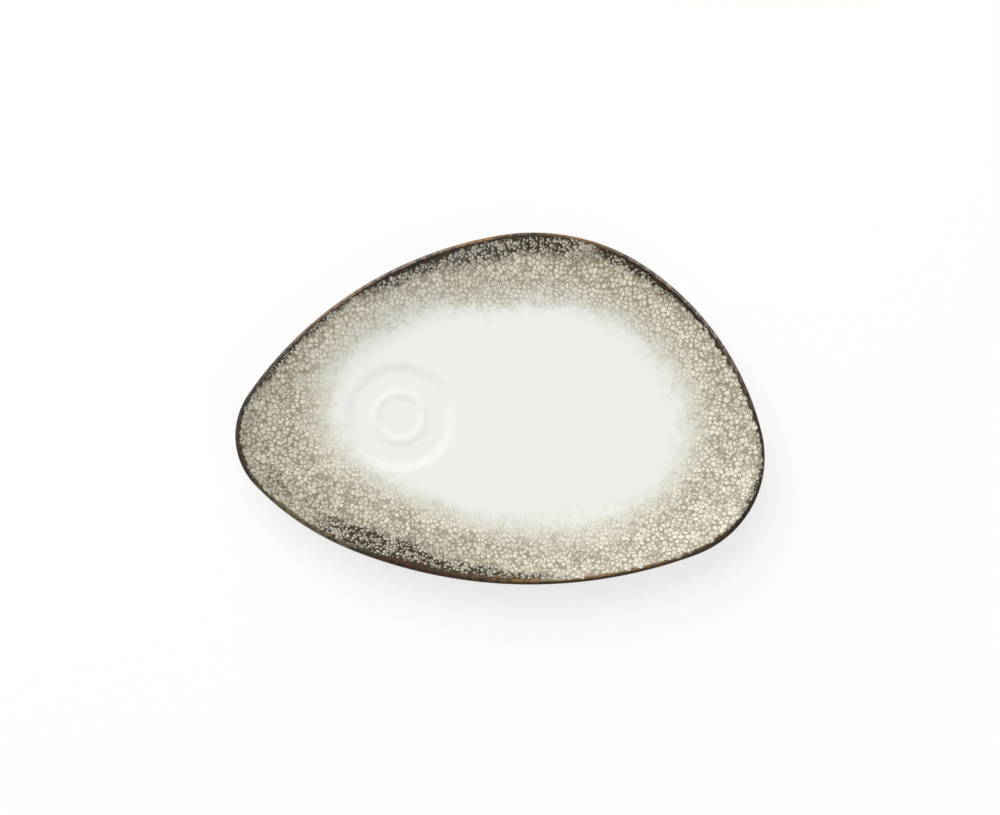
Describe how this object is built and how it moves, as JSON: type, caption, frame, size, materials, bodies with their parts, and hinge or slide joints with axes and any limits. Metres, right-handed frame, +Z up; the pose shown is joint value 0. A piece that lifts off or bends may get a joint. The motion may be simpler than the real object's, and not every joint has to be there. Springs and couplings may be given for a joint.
{
  "type": "serving plate",
  "caption": "Pebble-shaped porcelain serving plate with a cup well, a swept-up rim in speckled reactive glaze, a dark lip and a bare foot ring.",
  "frame": {"origin": "on the table, under the middle of the plate's length and width", "axes": "+X along the plate away from the cup well, +Y towards the back of the plate, +Z up out of the dish"},
  "size_m": [0.3494, 0.2398, 0.026],
  "materials": {
    "porcelain": "bare fired porcelain, matt, ground flat on the foot",
    "white_glaze": "glossy white glaze",
    "reactive_glaze": "glossy reactive glaze, cream islands on taupe, fading to white at its inner edge",
    "lip_glaze": "glossy iron-brown glaze breaking to amber",
    "clear_glaze": "glossy glaze on the underside"
  },
  "bodies": {
    "root": {"porcelain_body": "porcelain", "white_glaze": "white_glaze", "reactive_rim_glaze": "reactive_glaze", "lip_glaze": "lip_glaze", "underside_glaze": "clear_glaze", "base_glaze": "clear_glaze"}
  },
  "joints": []
}
